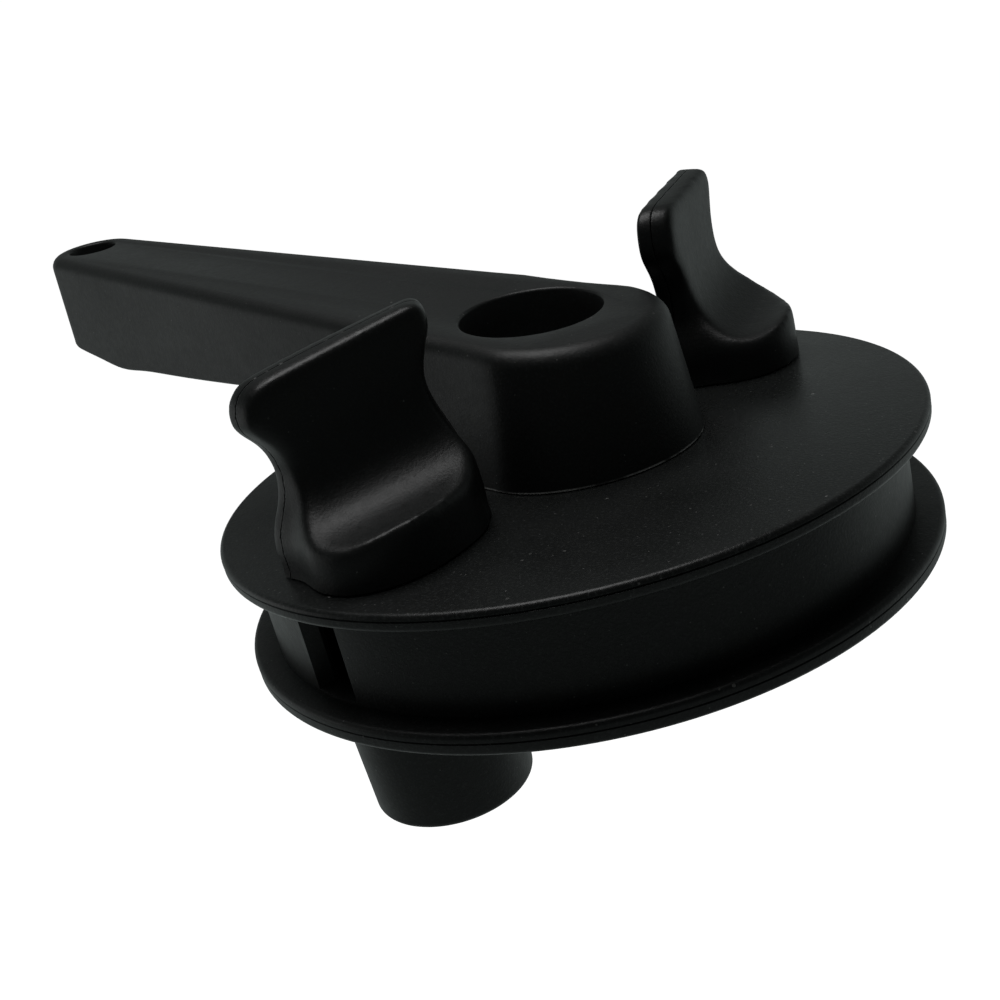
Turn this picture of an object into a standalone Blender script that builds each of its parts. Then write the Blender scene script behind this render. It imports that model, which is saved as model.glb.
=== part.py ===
"""Lever-and-drum line winder.

A flat two-flange drum turns on a hub sleeve that is held in the boss of a long lever. Two thumb wings stand on
the drum's lid, and a tapered crank peg turns on a post under the drum.

Metres, +Z up. The origin is on the hub axis, level with the lid's top face. The lever points along -X, and the
wings stand towards -Y (near) and +Y (far). All moulded pieces are black plastic.
"""

from math import atan2, cos, pi, radians, sin

import bmesh
import bpy
from mathutils import Matrix, Vector

MM = 0.001
GAP = 0.3 * MM                      # running or assembly gap between two pieces
TURN_STEPS = 64                     # facets round a large turned piece
RING_STEPS = 36                     # facets round the hub's rings
SMALL_STEPS = 20                    # facets round a small hole or pillar

# Drum
FLANGE_R = 50.0 * MM
FLANGE_THICK = 2.4 * MM
RIM_ROUND = 0.7 * MM
WALL_R = 46.3 * MM
WALL_THICK = 2.6 * MM
GROOVE_WIDTH = 13.25 * MM
SLOT_WIDTH = 7.0 * MM
SLOT_SILL = 1.0 * MM                # wall left under the slot
LOWER_TOP = -(FLANGE_THICK + GROOVE_WIDTH)
LOWER_BOTTOM = LOWER_TOP - 3.0 * MM

# Hub stack
BORE_R = 10.0 * MM
SLEEVE_R = 11.5 * MM
SLEEVE_TOP = 9.7 * MM
SLEEVE_BOTTOM = -19.5 * MM
BUSH_R = 13.5 * MM
HUB_HOLE_R = BUSH_R + GAP
HUB_TUBE_R = 16.8 * MM
THRUST_R = 13.8 * MM                # the upper thrust washer hides inside the boss
RECESS_R = 18.5 * MM                # recess in the drum's underside for the washer stack
RECESS_TOP = -13.75 * MM
WASHER_THICK = 1.0 * MM
RING_GROOVE_DEPTH = 0.6 * MM

# Lever
LEVER_TOP = 19.65 * MM              # top face on the hub axis
LEVER_RISE = 0.109                  # rise of the top face for each metre outwards
NOSE_R = 16.6 * MM
NOSE_X = 4.8 * MM
ARM_HALF_AT_AXIS = 14.9 * MM
ARM_TAPER = 0.0485                  # half-width lost for each metre outwards
TIP_X = -133.0 * MM
TIP_HOLE_X = -125.0 * MM
TIP_HOLE_R = 4.6 * MM
ARM_UNDERSIDE = 10.6 * MM
BOSS_BACK_X = -17.0 * MM
BOSS_BLEND_R = 9.0 * MM
FOOT_Z = 0.15 * MM
LEVER_EDGE = 2.2 * MM
BOSS_DRAFT = 1.9 * MM
LEVER_WALL = 3.2 * MM

# Wings: one moulding used twice. The two stand at slightly different angles.
WING_THICK = 5.1 * MM
WING_DRAFT = 2.0 * MM               # each end face is this much wider at the back than at the front
SEAT_HEIGHT = 6.3 * MM              # at the seat's front edge
SEAT_DIP = 0.8 * MM                 # the hollow's lowest line is this much lower
HOLLOW_R = 9.0 * MM                 # hollow between the plate and the thumb seat
WING_EDGE = 1.2 * MM
BASE_MARGIN = 4.0 * MM              # extra length below the base, cut off after the edges are rounded
SHOULDER_Z = 18.0 * MM              # the wide top starts here
CREST_Z = 27.0 * MM
# name: (middle of the plate's front face x, y, turn about Z, crest above the usual height, crest tilt)
WINGS = {
    "near": (2.3 * MM, -33.1 * MM, radians(-17.0), -0.4 * MM, 0.15),
    "far": (2.3 * MM, 34.8 * MM, radians(23.6), 0.4 * MM, 0.06),
}

# Crank peg
CRANK_Y = -33.3 * MM
CRANK_TOP_R = 11.7 * MM
CRANK_END_R = 10.9 * MM
CRANK_END_Z = -36.1 * MM
AXLE_R = 5.0 * MM

# Screws
SCREW_SHANK_R = 1.5 * MM
SCREW_HEAD_R = 2.8 * MM
SCREW_HEAD_H = 1.8 * MM
PILOT_R = SCREW_SHANK_R + GAP
FLANGE_SCREW_RADIUS = 36.0 * MM
PILLAR_R = 4.0 * MM
PILLAR_SPLIT = -8.0 * MM            # where the drum's pillars meet the lid's
WING_SCREW_ALONG = {"near": (-4.5 * MM, 6.5 * MM), "far": (-6.5 * MM, 3.0 * MM)}

COLLECTION_NAME = "line_winder"


# ---------------------------------------------------------------- scene and materials

def clear_scene():
    for item in list(bpy.data.objects):
        bpy.data.objects.remove(item, do_unlink=True)


def new_collection(name):
    collection = bpy.data.collections.new(name)
    bpy.context.scene.collection.children.link(collection)
    return collection


def new_material(name, colour, roughness, metallic=0.0):
    material = bpy.data.materials.new(name)
    material.use_nodes = True
    shader = material.node_tree.nodes["Principled BSDF"]
    shader.inputs["Base Color"].default_value = (*colour, 1.0)
    shader.inputs["Roughness"].default_value = roughness
    shader.inputs["Metallic"].default_value = metallic
    return material


clear_scene()
PARTS = new_collection(COLLECTION_NAME)
CUTTERS = new_collection("cutters")

BLACK = (0.011, 0.012, 0.012)
MATERIALS = {
    "lever_arm": new_material("lever plastic", BLACK, 0.5),
    "upper_flange": new_material("lid plastic", BLACK, 0.48),
    "drum_shell": new_material("drum plastic", BLACK, 0.5),
    "thumb_wing": new_material("wing plastic", BLACK, 0.45),
    "crank_sleeve": new_material("peg plastic", BLACK, 0.52),
    "bush": new_material("bearing plastic", (0.55, 0.53, 0.48), 0.4),
    "crank_axle": new_material("post plastic", (0.05, 0.05, 0.05), 0.4),
    "steel": new_material("steel", (0.56, 0.57, 0.58), 0.32, 1.0),
    "screw": new_material("black screw steel", (0.09, 0.09, 0.095), 0.35, 1.0),
}


# ---------------------------------------------------------------- making solids

def add_object(name, mesh, collection):
    thing = bpy.data.objects.new(name, mesh)
    collection.objects.link(thing)
    return thing


def finish_part(thing, material_key, sharp_degrees=35.0):
    thing.data.materials.clear()
    thing.data.materials.append(MATERIALS[material_key])
    thing.data.shade_smooth()
    thing.data.set_sharp_from_angle(angle=radians(sharp_degrees))
    return thing


def hide_cutter(thing):
    thing.hide_render = True
    thing.display_type = "WIRE"
    return thing


def evaluated_mesh(thing):
    graph = bpy.context.evaluated_depsgraph_get()
    return bpy.data.meshes.new_from_object(thing.evaluated_get(graph))


def bake(thing, flatten_degrees=0.4, weld=0.01 * MM):
    """Apply the modifiers, weld close points, and join flat neighbouring faces."""
    mesh = evaluated_mesh(thing)
    cage = bmesh.new()
    cage.from_mesh(mesh)
    bmesh.ops.dissolve_limit(
        cage, angle_limit=radians(flatten_degrees), verts=cage.verts, edges=cage.edges
    )
    bmesh.ops.remove_doubles(cage, verts=cage.verts, dist=weld)
    cage.to_mesh(mesh)
    cage.free()
    old = thing.data
    thing.modifiers.clear()
    thing.data = mesh
    bpy.data.meshes.remove(old)
    return thing


def turned(name, profile, collection=None, steps=TURN_STEPS):
    """Turn a profile of (radius, height) points about Z. A ring's profile is closed, and one whose ends are on
    the axis is left open. It runs down its outer side."""
    mesh = bpy.data.meshes.new(name)
    cage = bmesh.new()
    points = [cage.verts.new((radius, 0.0, height)) for radius, height in profile]
    for first, second in zip(points, points[1:]):
        cage.edges.new((first, second))
    if profile[0][0] > 0.0:
        cage.edges.new((points[-1], points[0]))
    cage.to_mesh(mesh)
    cage.free()
    thing = add_object(name, mesh, collection or PARTS)
    screw = thing.modifiers.new("turn", "SCREW")
    screw.axis = "Z"
    screw.angle = 2.0 * pi
    screw.steps = steps
    screw.render_steps = steps
    screw.use_merge_vertices = True
    screw.merge_threshold = 0.0001 * 0.2
    return thing


def cylinder_cutter(name, radius, low, high, location=(0.0, 0.0), steps=SMALL_STEPS):
    bpy.ops.mesh.primitive_cylinder_add(
        vertices=steps, radius=radius, depth=high - low, location=(*location, 0.5 * (high + low))
    )
    thing = bpy.context.active_object
    thing.name = name
    for owner in list(thing.users_collection):
        owner.objects.unlink(thing)
    CUTTERS.objects.link(thing)
    return hide_cutter(thing)


def box_cutter(name, low, high):
    mesh = bpy.data.meshes.new(name)
    cage = bmesh.new()
    bmesh.ops.create_cube(cage, size=1.0)
    size = Vector(high) - Vector(low)
    bmesh.ops.scale(cage, vec=size, verts=cage.verts)
    bmesh.ops.translate(cage, vec=0.5 * (Vector(high) + Vector(low)), verts=cage.verts)
    cage.to_mesh(mesh)
    cage.free()
    return hide_cutter(add_object(name, mesh, CUTTERS))


def slab(name, outline, low, high, placement=None, collection=None):
    """Extrude a flat outline from low to high along its own Z, then place it."""
    curve = bpy.data.curves.new(name, "CURVE")
    curve.dimensions = "2D"
    curve.fill_mode = "BOTH"
    curve.extrude = 0.5 * (high - low)
    spline = curve.splines.new("POLY")
    spline.points.add(len(outline) - 1)
    for point, (x, y) in zip(spline.points, outline):
        point.co = (x, y, 0.0, 1.0)
    spline.use_cyclic_u = True
    guide = add_object(name + "_outline", curve, CUTTERS)
    bpy.context.view_layer.update()
    mesh = evaluated_mesh(guide)
    bpy.data.objects.remove(guide, do_unlink=True)
    cage = bmesh.new()
    cage.from_mesh(mesh)
    bmesh.ops.remove_doubles(cage, verts=cage.verts, dist=0.00001)
    bmesh.ops.dissolve_limit(cage, angle_limit=radians(0.4), verts=cage.verts, edges=cage.edges)
    bmesh.ops.recalc_face_normals(cage, faces=cage.faces)
    bmesh.ops.translate(cage, vec=(0.0, 0.0, 0.5 * (high + low)), verts=cage.verts)
    if placement is not None:
        bmesh.ops.transform(cage, matrix=placement, verts=cage.verts)
        bmesh.ops.recalc_face_normals(cage, faces=cage.faces)
    cage.to_mesh(mesh)
    cage.free()
    thing = add_object(name, mesh, collection or CUTTERS)
    if collection is None:
        hide_cutter(thing)
    return thing


def boolean(thing, other, operation="DIFFERENCE"):
    step = thing.modifiers.new(operation.lower(), "BOOLEAN")
    step.operation = operation
    step.solver = "EXACT"
    step.object = other


def round_edges(thing, width, segments=2, angle_degrees=40.0):
    bevel = thing.modifiers.new("edges", "BEVEL")
    bevel.width = width
    bevel.segments = segments
    bevel.limit_method = "ANGLE"
    bevel.angle_limit = radians(angle_degrees)
    bevel.harden_normals = False


def at_azimuth(radius, azimuth):
    return (radius * cos(azimuth), radius * sin(azimuth))


def arc(centre, radius, start_degrees, end_degrees, count):
    """Points on an arc, both ends included."""
    points = []
    for index in range(count + 1):
        angle = radians(start_degrees + (end_degrees - start_degrees) * index / count)
        points.append((centre[0] + radius * cos(angle), centre[1] + radius * sin(angle)))
    return points


def rounded_rim(outer, top, bottom, radius, count=3):
    """Profile points down a disc's rim, with both edges rounded."""
    points = arc((outer - radius, top - radius), radius, 90.0, 0.0, count)
    points += arc((outer - radius, bottom + radius), radius, 0.0, -90.0, count)
    return points


# ---------------------------------------------------------------- hub stack

def make_hub_sleeve():
    groove_low = SLEEVE_BOTTOM + 1.3 * MM
    groove_high = groove_low + 1.8 * MM
    groove_r = SLEEVE_R - RING_GROOVE_DEPTH
    profile = [
        (SLEEVE_R - 0.6 * MM, SLEEVE_TOP),
        (SLEEVE_R, SLEEVE_TOP - 0.6 * MM),
        (SLEEVE_R, groove_high),
        (groove_r, groove_high),
        (groove_r, groove_low),
        (SLEEVE_R, groove_low),
        (SLEEVE_R, SLEEVE_BOTTOM + 0.4 * MM),
        (SLEEVE_R - 0.4 * MM, SLEEVE_BOTTOM),
        (BORE_R, SLEEVE_BOTTOM),
        (BORE_R, SLEEVE_TOP),
    ]
    finish_part(turned("hub_sleeve", profile, steps=RING_STEPS), "steel")
    return groove_low, groove_high


def make_ring(name, inner, outer, low, high, material_key):
    profile = [(outer, high), (outer, low), (inner, low), (inner, high)]
    return finish_part(turned(name, profile, steps=RING_STEPS), material_key)


def make_wave_washer(inner, outer, low, high):
    """A thin ring with three waves."""
    thick = 0.4 * MM
    ring = make_ring("wave_washer", inner, outer, low, low + thick, "steel")
    bake(ring, flatten_degrees=0.0)
    swing = 0.5 * (high - low - thick)
    for vertex in ring.data.vertices:
        angle = atan2(vertex.co.y, vertex.co.x)
        vertex.co.z += swing * (1.0 + cos(3.0 * angle))
    finish_part(ring, "steel")


def make_retaining_ring(groove_low, groove_high):
    """An external ring, open over 50 degrees, with an eyed lug at each end."""
    low = groove_low + GAP
    high = groove_high - GAP
    inner = SLEEVE_R - RING_GROOVE_DEPTH + GAP
    outer = inner + 2.6 * MM
    half_opening = 25.0
    outline = arc((0.0, 0.0), outer, half_opening, 360.0 - half_opening, 40)
    outline += arc((0.0, 0.0), inner, 360.0 - half_opening, half_opening, 40)
    ring = slab("retaining_ring", outline, low, high, collection=PARTS)
    lug_radius = 0.5 * (inner + outer) + 0.7 * MM
    spots = [at_azimuth(lug_radius, radians(side * (half_opening + 4.0))) for side in (-1, 1)]
    for spot in spots:
        boolean(ring, cylinder_cutter("ring_lug", 1.9 * MM, low, high, spot, 20), "UNION")
    for spot in spots:
        boolean(ring, cylinder_cutter("ring_eye", 0.8 * MM, low - MM, high + MM, spot, 14))
    finish_part(ring, "steel")


# ---------------------------------------------------------------- drum

def screw_azimuths():
    return [radians(45.0 + 90.0 * index) for index in range(4)]


def slot_cutter(margin, top):
    """The line slot's box, wider by a margin on each side."""
    return box_cutter(
        "line_slot",
        (-0.5 * SLOT_WIDTH - margin, -FLANGE_R, LOWER_TOP + SLOT_SILL),
        (0.5 * SLOT_WIDTH + margin, -(WALL_R - 3.0 * WALL_THICK), top),
    )


def make_drum_shell():
    """Wall, lower flange and hub tube, with the line slot and four screw pillars."""
    wall_in = WALL_R - WALL_THICK
    wall_top = -FLANGE_THICK - GAP
    web_top = RECESS_TOP + 2.2 * MM
    recess_out = RECESS_R + 2.5 * MM
    profile = [(WALL_R, wall_top), (WALL_R, LOWER_TOP)]
    profile += rounded_rim(FLANGE_R, LOWER_TOP, LOWER_BOTTOM, RIM_ROUND)
    profile += [
        (RECESS_R, LOWER_BOTTOM),
        (RECESS_R, RECESS_TOP),
        (HUB_HOLE_R, RECESS_TOP),
        (HUB_HOLE_R, wall_top),
        (HUB_TUBE_R, wall_top),
        (HUB_TUBE_R, web_top),
        (recess_out, web_top),
        (recess_out, LOWER_TOP),
        (wall_in, LOWER_TOP),
        (wall_in, wall_top),
    ]
    shell = turned("drum_shell", profile)
    for azimuth in screw_azimuths():
        pillar = cylinder_cutter(
            "pillar",
            PILLAR_R,
            LOWER_BOTTOM + 0.5 * MM,
            PILLAR_SPLIT - 0.5 * GAP,
            at_azimuth(FLANGE_SCREW_RADIUS, azimuth),
            SMALL_STEPS,
        )
        boolean(shell, pillar, "UNION")
    for azimuth in screw_azimuths():
        spot = at_azimuth(FLANGE_SCREW_RADIUS, azimuth)
        hole = cylinder_cutter("screw_hole", PILOT_R, LOWER_BOTTOM - MM, 0.0, spot, 12)
        boolean(shell, hole)
        sink = cylinder_cutter(
            "screw_sink", SCREW_HEAD_R + GAP, LOWER_BOTTOM - MM, LOWER_BOTTOM + SCREW_HEAD_H + 0.6 * MM, spot
        )
        boolean(shell, sink)
    boolean(shell, slot_cutter(0.0, 0.0))
    post_hole = cylinder_cutter("post_hole", AXLE_R + GAP, LOWER_BOTTOM - MM, LOWER_TOP + MM, (0.0, CRANK_Y), 28)
    boolean(shell, post_hole)
    finish_part(shell, "drum_shell")


def make_upper_flange():
    """The lid: a disc with a fine line round its rim, a spigot inside the drum wall, and four pillars."""
    spigot_out = WALL_R - WALL_THICK - GAP
    line_z = -0.36 * FLANGE_THICK
    line = 0.12 * MM
    profile = [(HUB_HOLE_R, 0.0)]
    profile += arc((FLANGE_R - RIM_ROUND, -RIM_ROUND), RIM_ROUND, 90.0, 0.0, 3)
    profile += [
        (FLANGE_R, line_z + line),
        (FLANGE_R - line, line_z),
        (FLANGE_R, line_z - line),
    ]
    profile += arc((FLANGE_R - RIM_ROUND, -FLANGE_THICK + RIM_ROUND), RIM_ROUND, 0.0, -90.0, 3)
    profile += [
        (spigot_out, -FLANGE_THICK),
        (spigot_out, -FLANGE_THICK - 2.0 * MM),
        (spigot_out - 1.5 * MM, -FLANGE_THICK - 2.0 * MM),
        (spigot_out - 1.5 * MM, -FLANGE_THICK),
        (HUB_HOLE_R, -FLANGE_THICK),
    ]
    lid = turned("upper_flange", profile)
    boolean(lid, slot_cutter(GAP, -FLANGE_THICK + 0.2 * MM))
    for azimuth in screw_azimuths():
        spot = at_azimuth(FLANGE_SCREW_RADIUS, azimuth)
        pillar = cylinder_cutter("lid_pillar", PILLAR_R, PILLAR_SPLIT + 0.5 * GAP, -0.5 * FLANGE_THICK, spot)
        boolean(lid, pillar, "UNION")
    for azimuth in screw_azimuths():
        spot = at_azimuth(FLANGE_SCREW_RADIUS, azimuth)
        pilot = cylinder_cutter("lid_pilot", PILOT_R, PILLAR_SPLIT - MM, -1.6 * MM, spot, 12)
        boolean(lid, pilot)
    for side in WINGS:
        for spot in wing_screw_spots(side):
            boolean(lid, cylinder_cutter("wing_hole", PILOT_R, -FLANGE_THICK - MM, MM, spot, 12))
    finish_part(lid, "upper_flange")


# ---------------------------------------------------------------- wings

def wing_placement(side):
    """Local X runs towards the thumb seat, local Y along the plate, and local Z up from the lid."""
    x, y, turn, _, _ = WINGS[side]
    return Matrix.Translation((x, y, GAP)) @ Matrix.Rotation(turn, 4, "Z")


def wing_screw_spots(side):
    matrix = wing_placement(side)
    points = [matrix @ Vector((0.0, along, 0.0)) for along in WING_SCREW_ALONG[side]]
    return [(point.x, point.y) for point in points]


def wing_side_profile():
    """Seen from the wing's end, as (forwards, up): upright plate, hollow front and thumb seat."""
    low = -BASE_MARGIN
    high = 40.0 * MM
    front = 25.0 * MM
    dip = SEAT_HEIGHT - SEAT_DIP
    hollow = arc((HOLLOW_R, dip + HOLLOW_R), HOLLOW_R, 180.0, 282.0, 9)
    profile = [(-WING_THICK, low), (-WING_THICK, high), (0.0, high)]
    return profile + hollow + [(12.8 * MM, SEAT_HEIGHT), (front, SEAT_HEIGHT), (front, low)]


def wing_outline(side, spread, lift):
    """Seen from the front, as (along, up): flared base, waist, and a wide top with round corners."""
    _, _, _, crest, tilt = WINGS[side]
    points = [
        (12.3, -4.0),
        (12.5, 0.0),
        (12.6, 4.5),
        (12.1, 8.5),
        (10.8, 12.4),
        (9.9, 15.1),
        (9.4, 18.0),
        (9.8, 20.0),
        (10.8, 22.0),
        (11.7, 23.5),
        (12.0, 25.0),
        (11.4, 26.2),
        (10.3, 26.8),
        (8.6, 26.9),
        (-9.2, 26.7),
        (-11.2, 26.0),
        (-12.4, 24.6),
        (-12.9, 22.6),
        (-13.0, 20.6),
        (-12.2, 18.8),
        (-10.9, 17.2),
        (-9.9, 15.0),
        (-9.7, 12.4),
        (-10.3, 9.7),
        (-11.6, 7.2),
        (-12.5, 4.5),
        (-12.4, 0.0),
        (-12.2, -4.0),
    ]
    outline = []
    for along, up in points:
        y = along * MM
        z = up * MM
        share = max(0.0, (z - SHOULDER_Z) / (CREST_Z - SHOULDER_Z))
        z += share * (crest + tilt * y + lift)
        outline.append((y + (spread if y > 0.0 else -spread), z))
    return outline


def wing_plan_outline():
    """Seen from above, as (forwards, along): straight back and a bowed thumb seat with round corners."""
    points = [
        (-8.0, -17.0),
        (1.0, -17.0),
        (3.0, -13.0),
        (5.6, -12.3),
        (9.0, -10.7),
        (11.2, -8.0),
        (12.3, -5.0),
        (12.6, -2.0),
        (12.2, 0.8),
        (11.0, 4.2),
        (9.1, 8.2),
        (6.8, 10.7),
        (3.6, 12.4),
        (1.0, 17.0),
        (-8.0, 17.0),
    ]
    return [(x * MM, y * MM) for x, y in points]


def loft(name, sections, collection=None):
    """Skin outlines that have the same number of points, and close both ends."""
    mesh = bpy.data.meshes.new(name)
    cage = bmesh.new()
    rows = [[cage.verts.new(point) for point in section] for section in sections]
    for row, following in zip(rows, rows[1:]):
        for index in range(len(row)):
            after = (index + 1) % len(row)
            cage.faces.new((row[index], row[after], following[after], following[index]))
    cage.faces.new(rows[0])
    cage.faces.new(rows[-1])
    bmesh.ops.recalc_face_normals(cage, faces=cage.faces)
    cage.to_mesh(mesh)
    cage.free()
    thing = add_object(name, mesh, collection or CUTTERS)
    if collection is None:
        hide_cutter(thing)
    return thing


def wing_body(side):
    """The wing's front outline, lofted forwards: widest at the back, then straight in front of the plate."""
    placement = wing_placement(side)
    stations = [(-WING_THICK - MM, WING_DRAFT, 0.5 * MM), (0.0, 0.0, 0.0), (18.0 * MM, 0.0, 0.0)]
    sections = []
    for forwards, spread, lift in stations:
        outline = wing_outline(side, spread, lift)
        sections.append([placement @ Vector((forwards, along, up)) for along, up in outline])
    return loft("wing_body", sections)


def make_wing(name, side):
    placement = wing_placement(side)
    wide = 20.0 * MM
    end_view = Matrix(((1, 0, 0, 0), (0, 0, 1, 0), (0, 1, 0, 0), (0, 0, 0, 1)))
    wing = slab(name, wing_side_profile(), -wide, wide, placement @ end_view, PARTS)
    boolean(wing, wing_body(side), "INTERSECT")
    boolean(wing, slab("wing_plan", wing_plan_outline(), -2.0 * BASE_MARGIN, 50.0 * MM, placement), "INTERSECT")
    bake(wing, weld=0.25 * MM)
    round_edges(wing, WING_EDGE, 3, 42.0)
    bake(wing, 0.0)
    boolean(wing, box_cutter("wing_level", (-0.1, -0.1, -0.1), (0.1, 0.1, GAP)))
    for spot in wing_screw_spots(side):
        boolean(wing, cylinder_cutter("wing_pilot", PILOT_R, -MM, 5.0 * MM, spot, 12))
    finish_part(wing, "thumb_wing")


# ---------------------------------------------------------------- lever

def arm_half(x):
    return ARM_HALF_AT_AXIS + ARM_TAPER * x


def lever_top(x):
    return LEVER_TOP - LEVER_RISE * x


def lever_plan(inset=0.0):
    """Plan outline: a round nose round the hub, straight tapering sides and a round tip."""
    nose = arc((NOSE_X, 0.0), NOSE_R - inset, -80.0, 80.0, 24)
    tip_r = 8.8 * MM - inset
    tip_x = TIP_X + inset + tip_r
    half = arm_half(tip_x) - inset
    tip = [(tip_x + tip_r * cos(radians(a)), half * sin(radians(a))) for a in range(95, 266, 10)]
    side_x = -8.0 * MM
    upper_side = [(side_x, arm_half(side_x) - inset)]
    lower_side = [(side_x, -(arm_half(side_x) - inset))]
    return nose + upper_side + tip + lower_side


def lever_side_view():
    """Side outline, as (x, z): sloping top, level underside that lifts at the tip, and the boss's foot."""
    front = NOSE_X + NOSE_R + 5.0 * MM
    back = TIP_X - 5.0 * MM
    outline = [(front, FOOT_Z), (front, lever_top(front)), (back, lever_top(back))]
    outline += [
        (back, ARM_UNDERSIDE + 7.4 * MM),
        (TIP_X + 2.0 * MM, ARM_UNDERSIDE + 5.9 * MM),
        (TIP_X + 9.5 * MM, ARM_UNDERSIDE + 4.0 * MM),
        (TIP_X + 22.0 * MM, ARM_UNDERSIDE + 1.9 * MM),
        (TIP_X + 34.0 * MM, ARM_UNDERSIDE + 1.2 * MM),
        (TIP_X + 70.0 * MM, ARM_UNDERSIDE + 0.2 * MM),
    ]
    outline += arc((BOSS_BACK_X - BOSS_BLEND_R, ARM_UNDERSIDE - BOSS_BLEND_R), BOSS_BLEND_R, 90.0, 0.0, 6)
    outline += [(BOSS_BACK_X, FOOT_Z)]
    return outline


def weigh_lever_edges(thing):
    """Full rounding on the top edge, and a light one on the other sharp edges."""
    cage = bmesh.new()
    cage.from_mesh(thing.data)
    weight = cage.edges.layers.float.new("bevel_weight_edge")
    for edge in cage.edges:
        if edge.calc_face_angle(0.0) < radians(38.0):
            continue
        on_top = all(abs(vertex.co.z - lever_top(vertex.co.x)) < 0.05 * MM for vertex in edge.verts)
        edge[weight] = 1.0 if on_top else 0.3
    cage.to_mesh(thing.data)
    cage.free()


def lean_boss_in(thing):
    """Draft on the boss: its sides lean in towards the top, less and less towards the arm."""
    cage = bmesh.new()
    cage.from_mesh(thing.data)
    for vertex in cage.verts:
        x, y, z = vertex.co
        share = min(1.0, max(0.0, (x + 14.0 * MM) / (14.0 * MM)))
        height = lever_top(x) - FOOT_Z
        outward = Vector((max(0.0, x - NOSE_X), y)).normalized()
        on_top = abs(z - lever_top(x)) < 0.02 * MM
        vertex.co.xy -= outward * BOSS_DRAFT * share * max(0.0, z - FOOT_Z) / height
        if on_top:
            vertex.co.z = lever_top(vertex.co.x)
    cage.to_mesh(thing.data)
    cage.free()


def pocket_outlines():
    """Two rows of pockets under the arm, with a rib between each and its neighbours."""
    pitch = 14.2 * MM
    first = TIP_X + 19.0 * MM
    outlines = []
    for index in range(6):
        start = first + index * pitch
        end = start + pitch - 2.0 * MM
        for side in (-1, 1):
            near = side * MM
            far_start = side * (arm_half(start) - LEVER_WALL)
            far_end = side * (arm_half(end) - LEVER_WALL)
            outlines.append(([(start, near), (end, near), (end, far_end), (start, far_start)], end))
    return outlines


def make_lever():
    lever = slab("lever_arm", lever_plan(), -5.0 * MM, 60.0 * MM, collection=PARTS)
    deep = 40.0 * MM
    side_view = Matrix(((1, 0, 0, 0), (0, 0, 1, 0), (0, 1, 0, 0), (0, 0, 0, 1)))
    boolean(lever, slab("lever_side", lever_side_view(), -deep, deep, side_view), "INTERSECT")
    bake(lever)
    lean_boss_in(lever)
    weigh_lever_edges(lever)
    round_edges(lever, LEVER_EDGE, 4)
    lever.modifiers["edges"].limit_method = "WEIGHT"
    bake(lever, 0.0)
    boolean(lever, cylinder_cutter("hub_bore", BORE_R, -MM, 30.0 * MM, steps=RING_STEPS))
    boolean(lever, cylinder_cutter("sleeve_seat", SLEEVE_R + GAP, -MM, SLEEVE_TOP + GAP, steps=RING_STEPS))
    washer_top = GAP + WASHER_THICK + GAP
    boolean(lever, cylinder_cutter("washer_recess", THRUST_R + GAP, -MM, washer_top, steps=RING_STEPS))
    boolean(lever, cylinder_cutter("tip_hole", TIP_HOLE_R, 0.0, 60.0 * MM, (TIP_HOLE_X, 0.0), 28))
    for outline, end in pocket_outlines():
        boolean(lever, slab("pocket", outline, 0.0, lever_top(end) - LEVER_WALL))
    finish_part(lever, "lever_arm")


# ---------------------------------------------------------------- screws and crank peg

def screw_profile(head_r, head_h, shank_r, length):
    """Pan-head screw, head down, as (radius, height) from the shank's point at the top."""
    return [
        (0.0, length),
        (0.4 * shank_r, length),
        (shank_r, length - 1.2 * shank_r),
        (shank_r, 0.0),
        (head_r, 0.0),
        (head_r, -0.45 * head_h),
        (0.72 * head_r, -0.92 * head_h),
        (0.4 * head_r, -head_h),
        (0.0, -head_h),
    ]


def make_screws(names, spots, seat_z, length, head_r=SCREW_HEAD_R, head_h=SCREW_HEAD_H):
    """Equal screws, heads down, each with a cross recess. They share one mesh."""
    first = turned(names[0], screw_profile(head_r, head_h, SCREW_SHANK_R, length), steps=14)
    half_long = 0.62 * head_r
    half_short = 0.15 * head_r
    for wide, deep in ((half_long, half_short), (half_short, half_long)):
        blade = box_cutter("cross_recess", (-wide, -deep, -head_h - MM), (wide, deep, -0.4 * head_h))
        boolean(first, blade)
    bake(first, 0.0)
    finish_part(first, "screw")
    screws = [first] + [add_object(name, first.data, PARTS) for name in names[1:]]
    for screw, (x, y) in zip(screws, spots):
        screw.location = (x, y, seat_z)


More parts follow.
